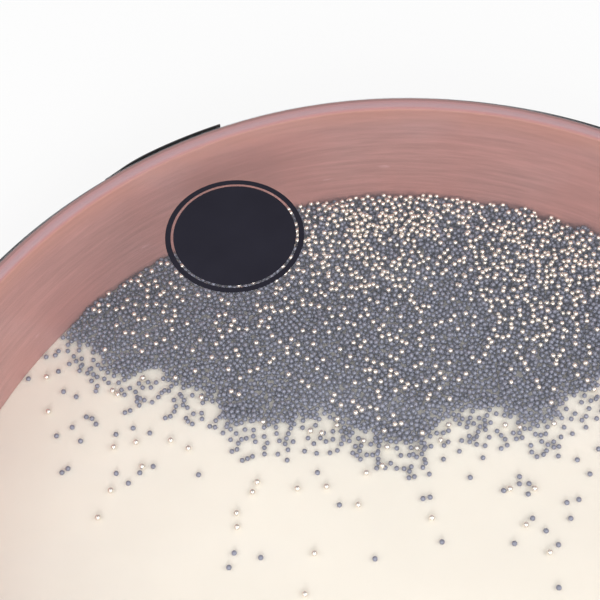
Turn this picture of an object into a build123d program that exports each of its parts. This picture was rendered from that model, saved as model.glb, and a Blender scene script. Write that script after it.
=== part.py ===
from build123d import *
import math
import os
import random

os.makedirs("parts", exist_ok=True)

# An ocean drum lying on its lower head. Millimetres, +Z up. The origin is the middle of the lower face.

# Shell: three bent plies, one inside the other. The two ends of each ply meet at its own place round the drum
shell_diameter = 457.2
shell_depth = 75.4
ply_thickness = 2.62
ply_glue_line = 0.05
outer_edge_round = 2.0
inner_edge_round = 1.8
ply_end_gap = 0.15
ply_end_places = {"outer": 250.0, "core": 10.0, "inner": 290.0}

# Heads: a clear film above and a hide-like sheet below, both folded down the side of the shell
film_thickness = 0.3
skin_thickness = 0.5
skirt_depth = 16.0

# Adhesive band between each skirt and the shell
adhesive_thickness = 0.2
adhesive_fold_gap = 4.0
adhesive_clearance = 0.05

# Trim tape over each skirt, with its end lapped over its start
trim_thickness = 0.6
trim_edge_gap = 2.2
trim_cover = 2.5
trim_clearance = 0.05
trim_lap_length = 48.0
trim_lap_place = 114.0
trim_lap_rise = 1.3

# Round patch on the clear head: a ring round a disc
patch_radius = 32.0
patch_thickness = 0.1
patch_rim_gap = 32.0
patch_place = 120.6
patch_ring_width = 2.5
patch_ring_gap = 1.2

# Steel balls
dark_diameter = 2.5
silver_diameter = 3.0
ball_clearance = 0.2
wall_clearance = 0.5

# Drift: where the balls lie. Its front edge is a shallow bow, and the balls behind it lie against the far wall
drift_depth = 140.7
drift_middle = -10.0
drift_bow_radius = 230.0
drift_left_end = 146.0
drift_right_end = 38.0
drift_pitch = 4.7
ragged_height = 6.0
ragged_length = 72.0
ragged_place = 11.0
throws_per_ball = 12

# Share of silver balls in the drift, and what is added to it one radius farther back or to the right
silver_share = 0.08
silver_share_back = 0.3
silver_share_right = 0.12

# Loose balls in front of the drift: a fringe close to it, then single strays. Crowding draws them toward the drift
group_gap = 2.0
fringe_depth = 26.0
fringe_count = 330
fringe_crowding = 1.6
fringe_silver_share = 0.08
stray_depth = 78.0
stray_count = 90
stray_crowding = 2.2
stray_silver_share = 0.35
seed = 18

# Worked out from the sizes above
shell_radius = shell_diameter / 2
shell_bottom = skin_thickness
shell_top = shell_bottom + shell_depth
skirt_gap = adhesive_thickness + 2 * adhesive_clearance
inside_radius = shell_radius - 3 * ply_thickness - 2 * ply_glue_line
overall_height = shell_top + film_thickness
drift_front = inside_radius - drift_depth


def hoop(inner, outer, bottom, top):
    """A plain hoop about the drum's axis."""
    height = top - bottom
    ring = Cylinder(outer, height) - Cylinder(inner, height + 1)
    return Pos(0, 0, (bottom + top) / 2) * ring


def make_ply(outer, rounded_side, size, place):
    """One bent ply, with the edges of one side rounded and a hairline gap where its ends meet."""
    section = Rectangle(ply_thickness, shell_depth)
    if size:
        section = fillet(section.vertices().group_by(Axis.X)[rounded_side], size)
    middle = outer - ply_thickness / 2
    section = Plane.XZ * Pos(middle, shell_bottom + shell_depth / 2) * section
    gap_angle = math.degrees(ply_end_gap / middle)
    return Rot(0, 0, place) * revolve(section, Axis.Z, 360 - gap_angle)


def make_plies():
    """Outer, core and inner ply. Only the two outside ones have rounded edges."""
    step = ply_thickness + ply_glue_line
    outside, inside = -1, 0
    return {
        "shell_outer_ply": make_ply(shell_radius, outside, outer_edge_round, ply_end_places["outer"]),
        "shell_core_ply": make_ply(shell_radius - step, outside, 0, ply_end_places["core"]),
        "shell_inner_ply": make_ply(shell_radius - 2 * step, inside, inner_edge_round, ply_end_places["inner"]),
    }


def make_head(thickness):
    """A head as a shallow cap, its inside face at z 0 and its skirt hanging down."""
    inner = shell_radius + skirt_gap
    bend = outer_edge_round + skirt_gap
    height = skirt_depth + thickness
    outside = Pos(0, 0, thickness - height / 2) * Cylinder(inner + thickness, height)
    inside = Pos(0, 0, -skirt_depth / 2) * Cylinder(inner, skirt_depth)
    outside = fillet(outside.edges().filter_by(GeomType.CIRCLE).sort_by(Axis.Z)[-1], bend + thickness)
    inside = fillet(inside.edges().filter_by(GeomType.CIRCLE).sort_by(Axis.Z)[-1], bend)
    return outside - inside


def make_adhesive():
    """The adhesive band under a skirt, measured from the skirt's fold at z 0."""
    inner = shell_radius + adhesive_clearance
    return hoop(inner, inner + adhesive_thickness, -skirt_depth, -adhesive_fold_gap)


def make_trim(thickness):
    """The trim tape over a skirt: once round, then lapped over its own start and a little nearer the edge."""
    inner = shell_radius + skirt_gap + thickness + trim_clearance
    outer = inner + trim_thickness
    top = thickness - trim_edge_gap
    bottom = -skirt_depth - trim_cover
    middle = (bottom + top) / 2 + trim_lap_rise
    section = Plane.XZ * Pos(outer + trim_thickness / 2, middle) * Rectangle(trim_thickness, top - bottom)
    lap_angle = math.degrees(trim_lap_length / outer)
    lap = Rot(0, 0, trim_lap_place) * revolve(section, Axis.Z, lap_angle)
    return hoop(inner, outer, bottom, top) + lap


def make_patch():
    """The round patch near the rim, on top of the clear head."""
    distance = shell_radius - patch_rim_gap - patch_radius
    disc_radius = patch_radius - patch_ring_width - patch_ring_gap
    ring = hoop(patch_radius - patch_ring_width, patch_radius, 0, patch_thickness)
    disc = Pos(0, 0, patch_thickness / 2) * Cylinder(disc_radius, patch_thickness)
    spot = Rot(0, 0, patch_place) * Pos(distance, 0, overall_height)
    return Compound([spot * ring.solid(), spot * disc.solid()])


def drift_edge(x):
    """The y of the drift's front edge at x, bowed and ragged."""
    bow = (x - drift_middle) ** 2 / (2 * drift_bow_radius)
    wave = 2 * math.pi * (x - ragged_place) / ragged_length
    return drift_front + bow + ragged_height * (math.sin(wave) + 0.4 * math.sin(2.5 * wave))


class Floor:
    """The balls that have come to rest on the lower head, kept in square cells to find neighbours fast."""

    def __init__(self):
        self.cell = max(drift_pitch, silver_diameter + ball_clearance)
        self.cells = {}

    def is_free(self, x, y, radius, spacing):
        column, row = round(x / self.cell), round(y / self.cell)
        for i in (column - 1, column, column + 1):
            for j in (row - 1, row, row + 1):
                for other_x, other_y, other_radius in self.cells.get((i, j), ()):
                    least = max(spacing, radius + other_radius + ball_clearance)
                    if math.hypot(x - other_x, y - other_y) < least:
                        return False
        return True

    def add(self, x, y, radius):
        key = (round(x / self.cell), round(y / self.cell))
        self.cells.setdefault(key, []).append((x, y, radius))


def random_spot(rng, radius):
    """A point anywhere on the lower head, inside the wall."""
    reach = inside_radius - wall_clearance - radius
    distance = reach * math.sqrt(rng.random())
    angle = rng.uniform(0, 2 * math.pi)
    return distance * math.cos(angle), distance * math.sin(angle)


def pick_radius(rng, share):
    """The radius of a silver ball in this share of cases, and of a dark one otherwise."""
    return (silver_diameter if rng.random() < share else dark_diameter) / 2


def lay_drift(rng, floor):
    """Balls spread evenly behind the front edge, with more silver ones to the back and right."""
    balls = []
    area = math.pi * inside_radius**2
    for _ in range(round(throws_per_ball * area / drift_pitch**2)):
        x, y = random_spot(rng, silver_diameter / 2)
        depth = y - drift_edge(x)
        if depth < group_gap:
            continue
        more_silver = (silver_share_back * depth + silver_share_right * x) / shell_radius
        radius = pick_radius(rng, silver_share + more_silver)
        if floor.is_free(x, y, radius, drift_pitch):
            floor.add(x, y, radius)
            balls.append((x, y, radius))
    return balls


def lay_in_front(rng, floor, wanted, nearest, farthest, crowding, share):
    """Loose balls in front of the drift, crowded toward it."""
    balls = []
    while len(balls) < wanted:
        x, y = random_spot(rng, silver_diameter / 2)
        ahead = drift_edge(x) - y
        if not nearest < ahead < farthest:
            continue
        if rng.random() > ((farthest - ahead) / (farthest - nearest)) ** crowding:
            continue
        radius = pick_radius(rng, share)
        if floor.is_free(x, y, radius, 0):
            floor.add(x, y, radius)
            balls.append((x, y, radius))
    return balls


def ball_group(balls):
    """Separate balls, all resting on the lower head, as one group."""
    patterns = {radius: Solid.make_sphere(radius) for _, _, radius in balls}
    rest = skin_thickness + ball_clearance
    return Compound([patterns[r].moved(Location((x, y, rest + r))) for x, y, r in balls])


def split_by_kind(balls):
    """The dark balls and the silver ones."""
    dark = [ball for ball in balls if ball[2] == dark_diameter / 2]
    silver = [ball for ball in balls if ball[2] == silver_diameter / 2]
    return dark, silver


def sector_of(ball, count):
    """Which of some equal sectors a ball lies in, counted from the left end of the drift to the right."""
    x, y, _ = ball
    from_left = (drift_left_end - math.degrees(math.atan2(y, x))) / (drift_left_end - drift_right_end)
    return min(count - 1, max(0, int(count * from_left)))


def make_balls():
    """Every group of balls: the drift in sectors from left to right, the fringe before it, and the strays."""
    rng = random.Random(seed)
    floor = Floor()
    drift = lay_drift(rng, floor)
    near = group_gap
    far = near + fringe_depth
    fringe = lay_in_front(rng, floor, fringe_count, near, far, fringe_crowding, fringe_silver_share)
    near = far + 2 * group_gap
    far = near + stray_depth
    strays = lay_in_front(rng, floor, stray_count, near, far, stray_crowding, stray_silver_share)

    groups = {}
    dark, silver = split_by_kind(drift)
    sectors = ("far_left", "left", "middle", "right", "far_right")
    for place, sector in enumerate(sectors):
        groups[f"dark_balls_{sector}"] = [b for b in dark if sector_of(b, len(sectors)) == place]
    for place, sector in enumerate(("left", "right")):
        groups[f"silver_balls_{sector}"] = [b for b in silver if sector_of(b, 2) == place]
    groups["fringe_dark_balls"], groups["fringe_silver_balls"] = split_by_kind(fringe)
    groups["stray_dark_balls"], groups["stray_silver_balls"] = split_by_kind(strays)
    return {name: ball_group(balls) for name, balls in groups.items()}


upper = Pos(0, 0, shell_top)
lower = Pos(0, 0, shell_bottom) * Rot(180, 0, 0)

nodes = make_plies()
nodes["clear_head"] = upper * make_head(film_thickness)
nodes["skin_head"] = lower * make_head(skin_thickness)
nodes["clear_head_adhesive"] = upper * make_adhesive()
nodes["skin_head_adhesive"] = lower * make_adhesive()
nodes["upper_trim"] = upper * make_trim(film_thickness)
nodes["lower_trim"] = lower * make_trim(skin_thickness)
nodes["round_patch"] = make_patch()
nodes.update(make_balls())

for name, shape in nodes.items():
    export_step(shape, f"parts/{name}.step")
    print(name, len(shape.solids()), "solids")
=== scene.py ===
"""Ocean drum: the looks of a shallow wooden drum with a clear head and thousands of steel balls inside."""

import math
import random

import bmesh
import bpy
from bpy.props import FloatProperty, FloatVectorProperty, IntProperty, PointerProperty
from mathutils import Matrix, Vector


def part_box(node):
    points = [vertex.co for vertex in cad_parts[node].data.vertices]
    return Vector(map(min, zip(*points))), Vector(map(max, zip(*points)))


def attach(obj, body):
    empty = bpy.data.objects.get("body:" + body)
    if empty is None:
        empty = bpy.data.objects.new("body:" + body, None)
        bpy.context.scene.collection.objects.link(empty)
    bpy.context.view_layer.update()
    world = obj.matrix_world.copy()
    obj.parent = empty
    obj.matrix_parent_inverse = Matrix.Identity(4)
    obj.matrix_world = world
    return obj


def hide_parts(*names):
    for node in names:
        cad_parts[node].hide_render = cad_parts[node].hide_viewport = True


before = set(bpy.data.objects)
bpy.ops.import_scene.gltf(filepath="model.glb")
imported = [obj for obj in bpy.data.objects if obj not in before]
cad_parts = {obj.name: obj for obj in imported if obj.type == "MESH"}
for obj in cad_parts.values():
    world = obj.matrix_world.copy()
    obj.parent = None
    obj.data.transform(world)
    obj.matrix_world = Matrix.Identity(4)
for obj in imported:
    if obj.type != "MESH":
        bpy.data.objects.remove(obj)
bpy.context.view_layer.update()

bl_info = {
    "name": "Ocean Drum",
    "version": (1, 0, 0),
    "blender": (4, 5, 0),
    "location": "View3D > Sidebar > Ocean Drum",
    "description": "Dresses an ocean drum and its stage around the packed frame",
    "category": "Object",
}

MM = 0.001

# Left between a head and the shell that it lies on, so that the two faces don't coincide
CONTACT_GAP = 0.06 * MM

# Left between the outermost balls and the wall, and between the drum and the floor
WALL_GAP = 0.2 * MM
FLOOR_GAP = 0.2 * MM

# Mesh detail. Points nearer than SAME_PLACE count as one
FULL_TURN = 2 * math.pi
SAME_PLACE = 1e-6
RING_TOLERANCE = 1e-5
SHARP_ANGLE = math.radians(40)
FOLD_STEPS = 6
LAP_STEPS = 40
BALL_SEGMENTS = 8
BALL_RINGS = 5

# Fall of the balls: steps of a rolling ball, their length in radii, and how often a throw is tried
ROLL_STEPS = 24
ROLL_STEP_LENGTH = 0.3
SILVER_TRIES = 4
HOLLOW_TRIES = 30

# Softboxes: name, place, width and share of the power
SOFTBOXES = (
    ("left_softbox", (-0.95, -0.5, 1.15), 1.6, 0.78),
    ("right_softbox", (0.95, -0.5, 1.15), 1.6, 1.1),
    ("front_softbox", (-0.1, -1.2, 0.8), 0.7, 0.6),
)
SPOT_STRENGTH = 0.1

# Width of the camera's sensor in mm
SENSOR_WIDTH = 36.0

PLIES = ("shell_outer_ply", "shell_core_ply", "shell_inner_ply")
DRIFT_DARK = tuple(f"dark_balls_{s}" for s in ("far_left", "left", "middle", "right", "far_right"))
DRIFT_SILVER = ("silver_balls_left", "silver_balls_right")
FRINGE = "fringe_dark_balls"
LOOSE_DARK = (FRINGE, "stray_dark_balls")
LOOSE_SILVER = ("fringe_silver_balls", "stray_silver_balls")

# Sizes read from the frame
FILM_LOW, FILM_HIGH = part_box("clear_head")
SKIN_LOW, SKIN_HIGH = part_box("skin_head")
SHELL_LOW, SHELL_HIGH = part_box("shell_outer_ply")
CORE_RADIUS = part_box("shell_core_ply")[1].x
SHELL_RADIUS = SHELL_HIGH.x
FILM_RADIUS = FILM_HIGH.x
SKIN_RADIUS = SKIN_HIGH.x
FILM_THICKNESS = FILM_HIGH.z - SHELL_HIGH.z
SKIN_THICKNESS = SHELL_LOW.z
PLY_STEP = SHELL_RADIUS - CORE_RADIUS
WALL_RADIUS = SHELL_RADIUS - len(PLIES) * PLY_STEP
DARK_RADIUS = (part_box("stray_dark_balls")[1].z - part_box("stray_dark_balls")[0].z) / 2
SILVER_RADIUS = (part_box("stray_silver_balls")[1].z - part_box("stray_silver_balls")[0].z) / 2
BALL_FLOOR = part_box("stray_dark_balls")[0].z
DRIFT_MIDDLE = (0, WALL_RADIUS * 0.65, BALL_FLOOR)


# Settings that a user would change


class HeadSettings(bpy.types.PropertyGroup):
    """The two heads and the tape round them."""

    film_haze: FloatProperty(
        name="Film haze", description="Share of light that the clear head scatters", default=0.03,
        min=0, max=1, subtype="FACTOR",
    )
    skin_color: FloatVectorProperty(
        name="Skin", description="Colour of the lower head", default=(0.90, 0.85, 0.74), subtype="COLOR",
    )
    tape_color: FloatVectorProperty(
        name="Tape", description="Colour of the trim tape", default=(0.016, 0.015, 0.017), subtype="COLOR",
    )
    # Painted light and shade: the inside and the outside are one stain, the inside painted lighter for the
    # shade inside the drum and the outside painted darker for the full lamp light on it
    inner_wood_painted_lighter: FloatVectorProperty(
        name="Inner wood", description="Main colour of the shell's inside", default=(0.525, 0.265, 0.231),
        subtype="COLOR",
    )
    outer_wood_painted_darker: FloatVectorProperty(
        name="Outer wood", description="Main colour of the shell's outside", default=(0.36, 0.165, 0.12),
        subtype="COLOR",
    )
    lap_place: FloatProperty(
        name="Lap", description="Where the free end of the tape lies, counted from +X",
        default=math.radians(114), subtype="ANGLE",
    )
    lap_length: FloatProperty(
        name="Lap length", description="How far the tape laps over its start", default=48 * MM, unit="LENGTH",
    )
    lap_rise: FloatProperty(
        name="Lap rise", description="How much nearer the edge the lapped end lies", default=1.3 * MM,
        unit="LENGTH",
    )
    tape_wave: FloatProperty(
        name="Tape wave", description="How much the tape's edge wavers", default=1.4 * MM, unit="LENGTH",
    )
    fold_radius: FloatProperty(
        name="Fold", description="Radius of a head's fold over the rim", default=2.5 * MM, unit="LENGTH",
    )
    turn_steps: IntProperty(name="Steps", description="Faces round a head or a tape", default=256, min=24)


class BallSettings(bpy.types.PropertyGroup):
    """The charge of steel balls."""

    dark_color: FloatVectorProperty(
        name="Dark balls", description="Colour of the satin balls", default=(0.266, 0.280, 0.352),
        subtype="COLOR",
    )
    silver_color: FloatVectorProperty(
        name="Silver balls", description="Colour of the bright balls", default=(0.90, 0.855, 0.77),
        subtype="COLOR",
    )
    dark_per_clump: FloatProperty(
        name="Dark in a clump", description="Balls that one CAD ball stands for, in a single layer",
        default=6.6,
    )
    silver_per_clump: FloatProperty(
        name="Silver in a clump", description="Silver balls that one silver CAD ball stands for", default=8.2,
    )
    dark_spread: FloatProperty(
        name="Dark spread", description="How far round a CAD ball its dark clump is dropped",
        default=5.5 * MM, unit="LENGTH",
    )
    silver_spread: FloatProperty(
        name="Silver spread", description="How far round a CAD ball its silver clump is dropped",
        default=28 * MM, unit="LENGTH",
    )
    dark_extra: FloatProperty(
        name="Dark layers", description="Layers that the drift gains at its back and right", default=1.8,
    )
    silver_extra: FloatProperty(
        name="More silver", description="Share by which silver balls gain at the back and right",
        default=0.5,
    )
    fringe_extra: FloatProperty(
        name="Fringe", description="Balls dropped beside each ball of the fringe", default=0.2,
    )
    seed: IntProperty(name="Seed", description="Seed of the fall of the balls", default=11)


class StageSettings(bpy.types.PropertyGroup):
    """Camera, lamps and floor."""

    lens: FloatProperty(name="Lens", description="Focal length on a 36 mm wide sensor", default=59.7)
    elevation: FloatProperty(
        name="Elevation", description="How far the camera looks down", default=math.radians(57.5),
        subtype="ANGLE",
    )
    camera_place: FloatVectorProperty(
        name="Camera", description="Where the camera stands", default=(-0.05371, -0.13019, 0.44668),
        subtype="TRANSLATION", unit="LENGTH",
    )
    world_strength: FloatProperty(
        name="Surround", description="Strength of the even surrounding light", default=0.43,
    )
    spot_angle: FloatProperty(
        name="Dark spot", description="Half width of the dark spot behind the camera",
        default=math.radians(22), subtype="ANGLE",
    )
    key_power: FloatProperty(
        name="Softboxes", description="Power of which each softbox takes its share", default=15.0,
        unit="POWER",
    )
    floor_width: FloatProperty(name="Floor", description="Width of the floor", default=40.0, unit="LENGTH")


class OceanDrumSettings(bpy.types.PropertyGroup):
    """All settings of the drum."""

    heads: PointerProperty(type=HeadSettings)
    balls: PointerProperty(type=BallSettings)
    stage: PointerProperty(type=StageSettings)


# Material helpers


class NodeTree:
    """A material's nodes, added and joined by short calls."""

    def __init__(self, name):
        self.material = bpy.data.materials.new(name)
        self.material.use_nodes = True
        self.tree = self.material.node_tree
        self.tree.nodes.clear()
        self.output = self.tree.nodes.new("ShaderNodeOutputMaterial")

    def add(self, kind, values=None, **attributes):
        """A new node, with plain values or linked sockets for its inputs."""
        node = self.tree.nodes.new(kind)
        for key, value in attributes.items():
            setattr(node, key, value)
        for key, value in (values or {}).items():
            self.put(node, key, value)
        return node

    def put(self, node, key, value):
        if isinstance(value, bpy.types.NodeSocket):
            self.tree.links.new(value, node.inputs[key])
        else:
            node.inputs[key].default_value = value

    def object_coordinates(self, scale=(1, 1, 1)):
        """Object coordinates, stretched by scale."""
        place = self.add("ShaderNodeTexCoord").outputs["Object"]
        return self.add("ShaderNodeMapping", {"Vector": place, "Scale": scale}).outputs["Vector"]

    def noise(self, scale, detail=3.0, stretch=(1, 1, 1), roughness=0.5):
        """A noise pattern on Object coordinates, from 0 to 1."""
        place = self.object_coordinates(stretch)
        values = {"Vector": place, "Scale": scale, "Detail": detail, "Roughness": roughness}
        return self.add("ShaderNodeTexNoise", values).outputs["Fac"]

    def past_wall(self, start, end):
        """Rises from 0 to 1 between two distances outward from the shell's inside wall."""
        across = self.object_coordinates((1, 1, 0))
        distance = self.add("ShaderNodeVectorMath", {0: across}, operation="LENGTH").outputs["Value"]
        return self.contrast(distance, WALL_RADIUS + start, WALL_RADIUS + end)

    def height(self):
        """Height above the floor."""
        place = self.object_coordinates()
        return self.add("ShaderNodeSeparateXYZ", {"Vector": place}).outputs["Z"]

    def math(self, operation, first, second=0.0):
        return self.add("ShaderNodeMath", {0: first, 1: second}, operation=operation).outputs[0]

    def between(self, value, low, high):
        """Maps a 0 to 1 value onto low to high."""
        values = {"Value": value, "To Min": low, "To Max": high}
        return self.add("ShaderNodeMapRange", values).outputs["Result"]

    def contrast(self, value, low, high):
        """Stretches the part of a pattern between low and high onto 0 to 1."""
        values = {"Value": value, "From Min": low, "From Max": high}
        return self.add("ShaderNodeMapRange", values).outputs["Result"]

    def mix_color(self, share, first, second):
        node = self.add("ShaderNodeMix", data_type="RGBA")
        self.put(node, 0, share)
        self.put(node, 6, first)
        self.put(node, 7, second)
        return node.outputs[2]

    def bump(self, height, strength, distance):
        values = {"Height": height, "Strength": strength, "Distance": distance}
        return self.add("ShaderNodeBump", values).outputs["Normal"]

    def principled(self, **values):
        spaced = {key.replace("_", " "): value for key, value in values.items()}
        return self.add("ShaderNodeBsdfPrincipled", spaced).outputs[0]

    def finish(self, shader):
        self.tree.links.new(shader, self.output.inputs["Surface"])
        return self.material


def rgba(color, factor=1.0):
    """A colour property as four numbers, made lighter or darker by a factor."""
    return tinted(color, factor, factor, factor)


def tinted(color, red, green, blue):
    """A colour property as four numbers, with a factor for each channel."""
    return tuple(min(1.0, c * factor) for c, factor in zip(color, (red, green, blue))) + (1.0,)


# Materials


def stained_wood(name, color):
    """Satin stained wood with short fine grain that runs round the hoop, and painted light: lighter and
    warmer near its top edge.
    """
    t = NodeTree(name)
    streaks = t.noise(5.0, detail=6.0, stretch=(1, 1, 60), roughness=0.62)
    fine = t.noise(36.0, detail=5.0, stretch=(1, 1, 13), roughness=0.7)
    clouds = t.contrast(t.noise(13.0, detail=2.0), 0.35, 0.65)
    scuffs = t.contrast(t.noise(60.0, detail=2.0, stretch=(1, 1, 3)), 0.72, 0.76)
    tone = t.mix_color(t.contrast(streaks, 0.3, 0.72), rgba(color, 0.90), rgba(color, 1.13))
    tone = t.mix_color(t.between(t.contrast(fine, 0.40, 0.62), 0.0, 0.6), tone, rgba(color, 0.70))
    tone = t.mix_color(t.between(clouds, 0.0, 0.35), tone, tinted(color, 1.08, 0.88, 0.82))
    # Painted light: the wood's top 14 mm is painted lighter and warmer, most in its top 2 mm, as where more
    # light falls near the opening
    painted_top_light = t.contrast(t.height(), SHELL_HIGH.z - 14 * MM, SHELL_HIGH.z - 2 * MM)
    tone = t.mix_color(t.between(painted_top_light, 0.0, 0.55), tone, tinted(color, 1.14, 1.04, 0.86))
    tone = t.mix_color(t.between(scuffs, 0.0, 0.4), tone, tinted(color, 1.4, 1.7, 1.8))
    pressed = t.contrast(t.height(), SHELL_HIGH.z - 1.2 * MM, SHELL_HIGH.z - 0.6 * MM)
    tone = t.mix_color(t.between(pressed, 0.0, 0.9), tone, tinted(color, 0.84, 0.66, 0.70))
    shader = t.principled(
        Base_Color=tone,
        Roughness=t.between(streaks, 0.36, 0.56),
        Normal=t.bump(fine, 0.25, 0.15 * MM),
    )
    return t.finish(shader)


def clear_film(haze):
    """Clear glossy film that mirrors a little, with a faint haze and wiping marks."""
    t = NodeTree("clear_film")
    wiped = t.contrast(t.noise(14.0, detail=5.0, stretch=(1, 2.2, 1)), 0.52, 0.8)
    scatter = t.between(wiped, haze, haze * 1.8)
    over_rim = t.between(t.past_wall(0.2 * MM, 1.0 * MM), 0.0, 0.11)
    pressed = t.between(t.past_wall(3.0 * MM, 4.5 * MM), 0.0, 0.05)
    scatter = t.math("MAXIMUM", scatter, t.math("SUBTRACT", over_rim, pressed))
    veil = t.add("ShaderNodeBsdfDiffuse", {"Color": (0.86, 0.88, 1.0, 1)}).outputs[0]
    through = t.add("ShaderNodeBsdfTransparent", {"Color": (0.985, 0.985, 0.985, 1)}).outputs[0]
    seen = t.add("ShaderNodeMixShader", {0: scatter, 1: through, 2: veil}).outputs[0]
    gloss = t.add("ShaderNodeBsdfGlossy", {"Color": (1, 1, 1, 1), "Roughness": 0.05}).outputs[0]
    inside = t.add("ShaderNodeNewGeometry").outputs["Backfacing"]
    fresnel = t.add("ShaderNodeFresnel", {"IOR": 1.3}).outputs[0]
    mirrored = t.math("MULTIPLY", fresnel, t.math("SUBTRACT", 1.0, inside))
    return t.finish(t.add("ShaderNodeMixShader", {0: mirrored, 1: seen, 2: gloss}).outputs[0])


def drum_skin(color):
    """Cream hide-like sheet, softly mottled, with fine pores."""
    t = NodeTree("drum_skin")
    clouds = t.contrast(t.noise(11.0, detail=4.0), 0.3, 0.7)
    fibres = t.noise(240.0, stretch=(1, 1.6, 1))
    tone = t.mix_color(clouds, rgba(color, 0.96), rgba(color, 1.04))
    tone = t.mix_color(t.between(fibres, 0.0, 0.10), tone, tinted(color, 0.86, 0.78, 0.66))
    shader = t.principled(
        Base_Color=tone,
        Roughness=t.between(fibres, 0.5, 0.68),
        Normal=t.bump(fibres, 0.2, 0.12 * MM),
    )
    return t.finish(shader)


def cloth_tape(color):
    """Black woven tape: threads round the drum and up its side."""
    t = NodeTree("cloth_tape")
    across = t.noise(1.0, detail=2.0, stretch=(60, 60, 2600))
    up = t.noise(1.0, detail=2.0, stretch=(1500, 1500, 60))
    weave = t.math("MULTIPLY", across, up)
    tone = t.mix_color(t.contrast(weave, 0.15, 0.4), rgba(color, 0.7), rgba(color, 2.4))
    shader = t.principled(
        Base_Color=tone,
        Roughness=t.between(weave, 0.6, 0.85),
        Normal=t.bump(weave, 0.4, 0.2 * MM),
    )
    return t.finish(shader)


def printed_black():
    """Flat black ink with the faintest unevenness."""
    t = NodeTree("printed_black")
    uneven = t.noise(60.0)
    tone = t.mix_color(uneven, (0.011, 0.010, 0.018, 1), (0.017, 0.016, 0.027, 1))
    shader = t.principled(Base_Color=tone, Roughness=t.between(uneven, 0.42, 0.55), Specular_IOR_Level=0.2)
    return t.finish(shader)


def pale_adhesive():
    """Amber adhesive, a little uneven."""
    t = NodeTree("pale_adhesive")
    uneven = t.noise(90.0)
    tone = t.mix_color(uneven, (0.66, 0.55, 0.36, 1), (0.76, 0.66, 0.46, 1))
    return t.finish(t.principled(Base_Color=tone, Roughness=t.between(uneven, 0.35, 0.55)))


def satin_steel(color):
    """Blue-grey satin balls, each a little different from the next."""
    t = NodeTree("satin_steel")
    each = t.contrast(t.noise(260.0, detail=1.0), 0.3, 0.7)
    tone = t.mix_color(each, rgba(color, 0.88), rgba(color, 1.14))
    return t.finish(t.principled(Base_Color=tone, Metallic=0.6, Roughness=t.between(each, 0.46, 0.58)))


def bright_steel(color):
    """Polished balls with a warm cast that differs from one to the next."""
    t = NodeTree("bright_steel")
    each = t.contrast(t.noise(220.0, detail=1.0), 0.3, 0.7)
    tone = t.mix_color(each, rgba(color, 0.96), rgba(color, 1.1))
    return t.finish(t.principled(Base_Color=tone, Metallic=0.85, Roughness=t.between(each, 0.1, 0.18)))


def pale_floor():
    """Pale floor: white to the eye, and still shaded under the drum."""
    t = NodeTree("pale_floor")
    paint = t.add("ShaderNodeBsdfDiffuse", {"Color": (0.9, 0.9, 0.9, 1)}).outputs[0]
    white = t.add("ShaderNodeEmission", {"Color": (1, 1, 1, 1), "Strength": 1.0}).outputs[0]
    path = t.add("ShaderNodeLightPath").outputs
    seen = t.math("MAXIMUM", path["Is Camera Ray"], path["Is Glossy Ray"])
    seen = t.math("MAXIMUM", seen, path["Is Transmission Ray"])
    share = t.math("MULTIPLY", seen, 0.8)
    return t.finish(t.add("ShaderNodeMixShader", {0: share, 1: paint, 2: white}).outputs[0])


# Mesh helpers


def new_piece(name, bm, material, body):
    """Makes a bmesh an object of the scene, gives it its material and puts it on its body."""
    mesh = bpy.data.meshes.new(name)
    bm.to_mesh(mesh)
    bm.free()
    piece = bpy.data.objects.new(name, mesh)
    bpy.context.collection.objects.link(piece)
    mesh.materials.append(material)
    mesh.shade_smooth()
    mesh.set_sharp_from_angle(angle=SHARP_ANGLE)
    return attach(piece, body)


def dress_node(name, material):
    """Gives a CAD node a better material."""
    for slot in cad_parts[name].material_slots:
        slot.material = material


def spun_profile(points, steps):
    """A bmesh made by turning an open line of (radius, z) points once round the drum's axis."""
    bm = bmesh.new()
    line = [bm.verts.new((radius, 0, z)) for radius, z in points]
    edges = [bm.edges.new(pair) for pair in zip(line, line[1:])]
    bmesh.ops.spin(
        bm, geom=line + edges, cent=(0, 0, 0), axis=(0, 0, 1), angle=FULL_TURN, steps=steps, use_merge=True,
    )
    bmesh.ops.remove_doubles(bm, verts=bm.verts, dist=SAME_PLACE)
    bmesh.ops.recalc_face_normals(bm, faces=bm.faces)
    return bm


def ring_edges(bm, radius, z):
    """The edges of one circle of a turned shape."""
    def on_ring(v):
        off_radius = abs(math.hypot(v.co.x, v.co.y) - radius)
        return max(off_radius, abs(v.co.z - z)) < RING_TOLERANCE
    return [e for e in bm.edges if on_ring(e.verts[0]) and on_ring(e.verts[1])]


def head_shell(radius, face_z, skirt_z, thickness, fold, steps):
    """A thin closed head: flat face, rounded fold and skirt. Its outside is at radius and face_z."""
    rings = (0, radius / 3, radius * 2 / 3, radius * 0.95, radius)
    bm = spun_profile([(ring, face_z) for ring in rings] + [(radius, skirt_z)], steps)
    edges = ring_edges(bm, radius, face_z)
    bmesh.ops.bevel(
        bm, geom=edges, offset=fold, segments=FOLD_STEPS, profile=0.5, affect="EDGES", material=-1,
    )
    outward = 1 if face_z > skirt_z else -1
    cap = max(bm.faces, key=lambda f: outward * f.calc_center_median().z)
    if cap.normal.z * outward < 0:
        bmesh.ops.reverse_faces(bm, faces=bm.faces)
    bmesh.ops.solidify(bm, geom=bm.faces[:], thickness=thickness)
    return bm


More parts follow.
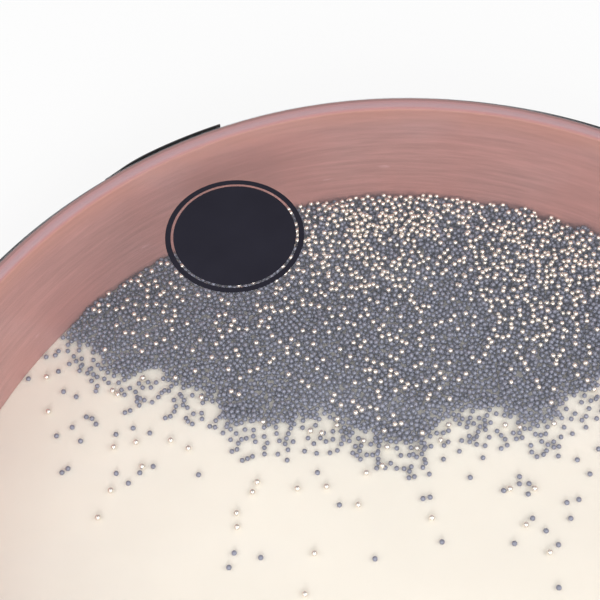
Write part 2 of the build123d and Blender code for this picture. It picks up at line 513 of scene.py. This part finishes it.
def add_turned_strip(bm, inner, outer, low, high, start, angle, steps):
    """Adds a flat strip turned round the drum's axis, and returns its vertices."""
    before = set(bm.verts)
    corners = [bm.verts.new((r, 0, z)) for r, z in ((inner, low), (outer, low), (outer, high), (inner, high))]
    edges = [bm.edges.new((corners[i - 1], corners[i])) for i in range(4)]
    bmesh.ops.rotate(bm, verts=corners, cent=(0, 0, 0), matrix=Matrix.Rotation(start, 3, "Z"))
    full = angle >= FULL_TURN
    bmesh.ops.spin(
        bm, geom=corners + edges, cent=(0, 0, 0), axis=(0, 0, 1), angle=angle, steps=steps, use_merge=full,
    )
    strip = [v for v in bm.verts if v not in before]
    if not full:
        bmesh.ops.holes_fill(bm, edges=[e for e in bm.edges if e.is_boundary])
    return strip


def smooth_step(value, low, high):
    """0 below low, 1 above high and a soft rise between them."""
    share = min(1.0, max(0.0, (value - low) / (high - low)))
    return share * share * (3 - 2 * share)


def wound_tape(inner, outer, low, high, heads):
    """A tape wound once round a skirt. Its end climbs over its start and a little nearer the edge."""
    waves_round = 3
    wave_start = 0.25
    pressed_in = 0.05
    bm = bmesh.new()
    middle = (low + high) / 2
    for v in add_turned_strip(bm, inner, outer, low, high, 0, FULL_TURN, heads.turn_steps):
        if v.co.z > middle:
            turned = math.atan2(v.co.y, v.co.x) - heads.lap_place
            v.co.z -= heads.tape_wave * math.cos(waves_round * turned + wave_start)
    lap = heads.lap_length / outer
    ramp = lap / 3
    rise_ramp = 1.6 * ramp
    thickness = outer - inner
    for v in add_turned_strip(bm, inner, outer, low, high, heads.lap_place, lap + ramp, LAP_STEPS):
        turned = math.atan2(v.co.y, v.co.x) - heads.lap_place
        climb = smooth_step(lap + ramp - turned, 0, ramp) - pressed_in
        v.co.xy *= 1 + thickness * climb / outer
        v.co.z += heads.lap_rise * smooth_step(lap + ramp - turned, 0, rise_ramp)
    bmesh.ops.remove_doubles(bm, verts=bm.verts, dist=SAME_PLACE)
    bmesh.ops.recalc_face_normals(bm, faces=bm.faces)
    return bm


# Balls


def ball_tops(node):
    """The centres of a CAD group of balls in plan, found from the top point of each ball."""
    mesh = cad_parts[node].data
    top = max(v.co.z for v in mesh.vertices)
    tops = [v.co for v in mesh.vertices if v.co.z > top - SAME_PLACE]
    return sorted({(round(co.x, 6), round(co.y, 6)) for co in tops})


class Heap:
    """Balls at rest on the lower head, kept in square cells, on which more balls can be dropped."""

    cell = 2 * SILVER_RADIUS

    def __init__(self):
        self.cells = {}

    def add(self, x, y, z, radius):
        key = (math.floor(x / self.cell), math.floor(y / self.cell))
        self.cells.setdefault(key, []).append((x, y, z, radius))

    def support(self, x, y, radius):
        """The height at which a ball comes to rest over a point, and the ball that stops it there."""
        height, stop = BALL_FLOOR + radius, None
        column, row = math.floor(x / self.cell), math.floor(y / self.cell)
        for i in (column - 1, column, column + 1):
            for j in (row - 1, row, row + 1):
                for ball in self.cells.get((i, j), ()):
                    reach = radius + ball[3]
                    gap = reach * reach - (x - ball[0]) ** 2 - (y - ball[1]) ** 2
                    if gap > 0 and ball[2] + math.sqrt(gap) > height:
                        height, stop = ball[2] + math.sqrt(gap), ball
        return height, stop

    def lands_on_like(self, x, y, radius):
        """Whether a ball dropped here would land on one of its own size."""
        stop = self.support(x, y, radius)[1]
        return stop is not None and stop[3] == radius

    def roll(self, x, y, radius):
        """Where a dropped ball comes to rest, after rolling off what it lands on into a hollow."""
        x, y = inside_wall(x, y, radius)
        height, stop = self.support(x, y, radius)
        for _ in range(ROLL_STEPS):
            if stop is None:
                break
            away = Vector((x - stop[0], y - stop[1]))
            if away.length < SAME_PLACE:
                away = Vector((1, 0))
            away = away.normalized() * radius * ROLL_STEP_LENGTH
            next_x, next_y = inside_wall(x + away.x, y + away.y, radius)
            next_height, next_stop = self.support(next_x, next_y, radius)
            if next_height >= height:
                break
            x, y, height, stop = next_x, next_y, next_height, next_stop
        return x, y, height

    def drop(self, x, y, radius):
        """Drops a ball, and keeps it where it comes to rest."""
        place = self.roll(x, y, radius)
        self.add(*place, radius)
        return place


def inside_wall(x, y, radius):
    """Moves a point in so that a ball there clears the wall."""
    reach = WALL_RADIUS - radius - WALL_GAP
    distance = math.hypot(x, y)
    if distance <= reach:
        return x, y
    return x * reach / distance, y * reach / distance


def drift_layers(x, y, extra):
    """How many layers deep the drift is: one at its front and left, more against the wall to the right."""
    # Both shares go from 0 to 1: back from half the radius to the wall, right across the middle
    back = min(1.0, max(0.0, (math.hypot(x, y) / WALL_RADIUS - 0.5) * 2))
    right = min(1.0, max(0.0, 0.5 + x / WALL_RADIUS))
    return 1 + extra * back * right


def random_throw(rng, x, y, spread, radius):
    """A place near a point, inside the wall."""
    while True:
        distance = spread * math.sqrt(rng.random())
        angle = rng.uniform(0, FULL_TURN)
        place = (x + distance * math.cos(angle), y + distance * math.sin(angle))
        if math.hypot(*place) < WALL_RADIUS - radius:
            return place


def drop_clumps(heap, rng, seeds, radius, per_clump, spread, extra, tries=0):
    """Drops a clump of balls round each seed (node, x, y), in random order, and lists them by node.

    With tries, a ball that would land on one of its own size is thrown again.
    """
    throws = []
    for node, x, y in seeds:
        wanted = per_clump * drift_layers(x, y, extra) + rng.random()
        throws.extend([(node, x, y)] * int(wanted))
    rng.shuffle(throws)
    dropped = {}
    for node, x, y in throws:
        place = random_throw(rng, x, y, spread, radius)
        for _ in range(tries):
            if not heap.lands_on_like(*place, radius):
                break
            place = random_throw(rng, x, y, spread, radius)
        dropped.setdefault(node, []).append(heap.drop(*place, radius))
    return dropped


def fill_gaps(heap, rng, seeds, radius, spread, dropped):
    """Drops a ball into each hollow of the first layer near a seed, so that the lower head is covered."""
    # The middle of a ball in a hollow between other balls lies below this
    second_layer = BALL_FLOOR + 2.75 * radius
    for node, x, y in seeds:
        for _ in range(HOLLOW_TRIES):
            place = heap.roll(*random_throw(rng, x, y, spread, radius), radius)
            if place[2] < second_layer:
                heap.add(*place, radius)
                dropped[node].append(place)


def seeds_of(nodes):
    """The CAD balls of some nodes, as (node, x, y)."""
    return [(node, x, y) for node in nodes for x, y in ball_tops(node)]


def nearest_node(seeds, x, y):
    """The node of the seed nearest to a point."""
    return min(seeds, key=lambda seed: math.hypot(seed[1] - x, seed[2] - y))[0]


def ball_mesh(places, radius):
    """One small round ball at every place."""
    ball = bpy.data.meshes.new("ball")
    bm = bmesh.new()
    bmesh.ops.create_uvsphere(bm, u_segments=BALL_SEGMENTS, v_segments=BALL_RINGS, radius=radius)
    bm.to_mesh(ball)
    bm.clear()
    last = Vector()
    for place in places:
        ball.transform(Matrix.Translation(Vector(place) - last))
        bm.from_mesh(ball)
        last = Vector(place)
    bpy.data.meshes.remove(ball)
    return bm


# Operators


class DrumOperator:
    """What the drum's operators share."""

    bl_options = {"REGISTER", "UNDO"}

    @property
    def drum(self):
        return bpy.context.scene.ocean_drum


class OCEANDRUM_OT_wood_shell(DrumOperator, bpy.types.Operator):
    """Stain the three plies of the shell, the inside painted lighter and the outside darker for the light
    each gets
    """

    bl_idname = "ocean_drum.wood_shell"
    bl_label = "Wood Shell"

    def execute(self, context):
        # Painted light and shade: lit and shaded copies of one stain, lighter for the two plies inside,
        # darker for the outer ply
        inner = stained_wood("inner_wood_painted_lighter", self.drum.heads.inner_wood_painted_lighter)
        outer = stained_wood("outer_wood_painted_darker", self.drum.heads.outer_wood_painted_darker)
        for name, wood in zip(PLIES, (outer, inner, inner)):
            dress_node(name, wood)
        return {"FINISHED"}


class OCEANDRUM_OT_clear_head(DrumOperator, bpy.types.Operator):
    """Stretch the clear film over the top of the shell"""

    bl_idname = "ocean_drum.clear_head"
    bl_label = "Clear Head"

    def execute(self, context):
        heads = self.drum.heads
        thickness = FILM_THICKNESS - CONTACT_GAP
        bm = head_shell(FILM_RADIUS, FILM_HIGH.z, FILM_LOW.z, thickness, heads.fold_radius, heads.turn_steps)
        piece = new_piece("clear_film_head", bm, clear_film(heads.film_haze), "drum")
        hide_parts("clear_head")
        return {"FINISHED"}


class OCEANDRUM_OT_skin_head(DrumOperator, bpy.types.Operator):
    """Stretch the cream skin over the bottom of the shell"""

    bl_idname = "ocean_drum.skin_head"
    bl_label = "Skin Head"

    def execute(self, context):
        heads = self.drum.heads
        thickness = SKIN_THICKNESS - CONTACT_GAP
        bm = head_shell(SKIN_RADIUS, SKIN_LOW.z, SKIN_HIGH.z, thickness, heads.fold_radius, heads.turn_steps)
        piece = new_piece("cream_skin_head", bm, drum_skin(heads.skin_color), "drum")
        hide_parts("skin_head")
        return {"FINISHED"}


class OCEANDRUM_OT_adhesive(DrumOperator, bpy.types.Operator):
    """Finish the adhesive bands under the skirts"""

    bl_idname = "ocean_drum.adhesive"
    bl_label = "Adhesive Bands"

    def execute(self, context):
        adhesive = pale_adhesive()
        for name in ("clear_head_adhesive", "skin_head_adhesive"):
            dress_node(name, adhesive)
        return {"FINISHED"}


class OCEANDRUM_OT_trim(DrumOperator, bpy.types.Operator):
    """Finish the two trim tapes"""

    bl_idname = "ocean_drum.trim"
    bl_label = "Trim Tapes"

    def execute(self, context):
        heads = self.drum.heads
        tape = cloth_tape(heads.tape_color)
        for name, skirt, edge, tilt in (
            ("upper_trim", FILM_RADIUS, SHELL_HIGH.z, 0),
            ("lower_trim", SKIN_RADIUS, SHELL_LOW.z, math.pi),
        ):
            heights = [abs(corner.z - edge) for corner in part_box(name)]
            high = -min(heights) - heads.lap_rise
            bm = wound_tape(skirt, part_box(name)[1].x, -max(heights), high, heads)
            place = Matrix.Translation((0, 0, edge)) @ Matrix.Rotation(tilt, 4, "X")
            bmesh.ops.transform(bm, matrix=place, verts=bm.verts)
            piece = new_piece(f"{name}_tape", bm, tape, "drum")
            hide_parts(name)
        return {"FINISHED"}


class OCEANDRUM_OT_patch(DrumOperator, bpy.types.Operator):
    """Finish the plain round patch on the clear head"""

    bl_idname = "ocean_drum.patch"
    bl_label = "Round Patch"

    def execute(self, context):
        dress_node("round_patch", printed_black())
        return {"FINISHED"}


class OCEANDRUM_OT_balls(DrumOperator, bpy.types.Operator):
    """Pour the steel balls: the drift in layers, and the loose balls in front of it"""

    bl_idname = "ocean_drum.balls"
    bl_label = "Steel Balls"

    def execute(self, context):
        balls = self.drum.balls
        rng = random.Random(balls.seed)
        heap = Heap()
        dark = satin_steel(balls.dark_color)
        silver = bright_steel(balls.silver_color)
        kinds = ((LOOSE_DARK, DARK_RADIUS, dark), (LOOSE_SILVER, SILVER_RADIUS, silver))
        for loose, radius, material in kinds:
            for _, x, y in seeds_of(loose):
                heap.add(x, y, BALL_FLOOR + radius, radius)
            for node in loose:
                dress_node(node, material)
        bright = seeds_of(DRIFT_SILVER)
        satin = seeds_of(DRIFT_DARK)
        satin += [(nearest_node(satin, x, y), x, y) for _, x, y in bright]
        near = seeds_of((FRINGE,))

        dropped = drop_clumps(
            heap, rng, satin, DARK_RADIUS, balls.dark_per_clump, balls.dark_spread, balls.dark_extra,
        )
        fill_gaps(heap, rng, satin, DARK_RADIUS, balls.dark_spread, dropped)
        self.add_pieces(dropped, DARK_RADIUS, dark, "dark_steel", "drift")
        dropped = drop_clumps(heap, rng, near, DARK_RADIUS, balls.fringe_extra, 2 * DARK_RADIUS, 0)
        dropped[FRINGE].extend((x, y, BALL_FLOOR + DARK_RADIUS) for _, x, y in near)
        self.add_pieces(dropped, DARK_RADIUS, dark, "dark_steel", "fringe")
        dropped = drop_clumps(
            heap, rng, bright, SILVER_RADIUS, balls.silver_per_clump, balls.silver_spread, balls.silver_extra,
            tries=SILVER_TRIES,
        )
        self.add_pieces(dropped, SILVER_RADIUS, silver, "silver_steel", "silver")
        return {"FINISHED"}

    def add_pieces(self, dropped, radius, material, slot, body):
        """One piece for the balls of each node."""
        for node, places in dropped.items():
            piece = new_piece(f"{node}_drift", ball_mesh(places, radius), material, body)
            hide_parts(node)


class OCEANDRUM_OT_stage(DrumOperator, bpy.types.Operator):
    """Set up the floor, the lamps and the camera"""

    bl_idname = "ocean_drum.stage"
    bl_label = "Stage"

    def execute(self, context):
        stage = self.drum.stage
        scene = context.scene
        scene.view_settings.view_transform = "Standard"
        self.lay_floor(stage)
        self.light(scene, stage)
        self.place_camera(scene, stage)
        return {"FINISHED"}

    def lay_floor(self, stage):
        bm = bmesh.new()
        below = Matrix.Translation((0, 0, -FLOOR_GAP))
        bmesh.ops.create_grid(bm, x_segments=1, y_segments=1, size=stage.floor_width / 2, matrix=below)
        mesh = bpy.data.meshes.new("floor")
        bm.to_mesh(mesh)
        bm.free()
        floor = bpy.data.objects.new("floor", mesh)
        bpy.context.collection.objects.link(floor)
        mesh.materials.append(pale_floor())

    def light(self, scene, stage):
        world = bpy.data.worlds.new("studio")
        world.use_nodes = True
        nodes, links = world.node_tree.nodes, world.node_tree.links
        white = nodes.new("ShaderNodeMath")
        white.operation = "MAXIMUM"
        links.new(self.dark_spot(nodes, links, stage), white.inputs[0])
        links.new(nodes.new("ShaderNodeLightPath").outputs["Is Camera Ray"], white.inputs[1])
        links.new(white.outputs[0], nodes["Background"].inputs["Strength"])
        nodes["Background"].inputs["Color"].default_value = (1, 1, 1, 1)
        scene.world = world
        for name, place, width, share in SOFTBOXES:
            self.add_lamp(name, place, width, stage.key_power * share)

    def dark_spot(self, nodes, links, stage):
        """The strength of the surround, which is dark only where the photographer stands."""
        facing = nodes.new("ShaderNodeVectorMath")
        facing.operation = "DOT_PRODUCT"
        facing.inputs[1].default_value = (Vector(stage.camera_place) - Vector(DRIFT_MIDDLE)).normalized()
        links.new(nodes.new("ShaderNodeTexCoord").outputs["Generated"], facing.inputs[0])
        fade = nodes.new("ShaderNodeMapRange")
        fade.inputs["From Min"].default_value = math.cos(stage.spot_angle)
        fade.inputs["From Max"].default_value = math.cos(stage.spot_angle / 2)
        fade.inputs["To Min"].default_value = stage.world_strength
        fade.inputs["To Max"].default_value = stage.world_strength * SPOT_STRENGTH
        links.new(facing.outputs["Value"], fade.inputs["Value"])
        return fade.outputs["Result"]

    def add_lamp(self, name, place, width, power):
        lamp = bpy.data.lights.new(name, "AREA")
        lamp.shape = "SQUARE"
        lamp.size = width
        lamp.energy = power
        holder = bpy.data.objects.new(name, lamp)
        holder.location = place
        holder.rotation_euler = (-Vector(place)).to_track_quat("-Z", "Y").to_euler()
        bpy.context.collection.objects.link(holder)

    def place_camera(self, scene, stage):
        camera = bpy.data.cameras.new("camera")
        camera.sensor_fit = "HORIZONTAL"
        camera.sensor_width = SENSOR_WIDTH
        camera.lens = stage.lens
        camera.clip_start = 10 * MM
        holder = bpy.data.objects.new("camera", camera)
        holder.location = stage.camera_place
        holder.rotation_euler = (math.pi / 2 - stage.elevation, 0, 0)
        bpy.context.collection.objects.link(holder)
        scene.camera = holder


class OCEANDRUM_PT_panel(bpy.types.Panel):
    """The drum's steps in the sidebar"""

    bl_idname = "OCEANDRUM_PT_panel"
    bl_label = "Ocean Drum"
    bl_space_type = "VIEW_3D"
    bl_region_type = "UI"
    bl_category = "Ocean Drum"

    def draw(self, context):
        for operator in OPERATORS:
            self.layout.operator(operator.bl_idname)
        drum = context.scene.ocean_drum
        for group in (drum.heads, drum.balls, drum.stage):
            box = self.layout.box()
            for name in group.bl_rna.properties.keys():
                if name not in ("rna_type", "name"):
                    box.prop(group, name)


OPERATORS = (
    OCEANDRUM_OT_wood_shell,
    OCEANDRUM_OT_clear_head,
    OCEANDRUM_OT_skin_head,
    OCEANDRUM_OT_adhesive,
    OCEANDRUM_OT_trim,
    OCEANDRUM_OT_patch,
    OCEANDRUM_OT_balls,
    OCEANDRUM_OT_stage,
)
SETTINGS = (HeadSettings, BallSettings, StageSettings, OceanDrumSettings)


def register():
    for item in SETTINGS + OPERATORS + (OCEANDRUM_PT_panel,):
        bpy.utils.register_class(item)
    bpy.types.Scene.ocean_drum = PointerProperty(type=OceanDrumSettings)


def unregister():
    del bpy.types.Scene.ocean_drum
    for item in reversed(SETTINGS + OPERATORS + (OCEANDRUM_PT_panel,)):
        bpy.utils.unregister_class(item)


def main():
    register()
    bpy.ops.ocean_drum.wood_shell()
    bpy.ops.ocean_drum.clear_head()
    bpy.ops.ocean_drum.skin_head()
    bpy.ops.ocean_drum.adhesive()
    bpy.ops.ocean_drum.trim()
    bpy.ops.ocean_drum.patch()
    bpy.ops.ocean_drum.balls()
    bpy.ops.ocean_drum.stage()


if __name__ == "__main__":
    main()
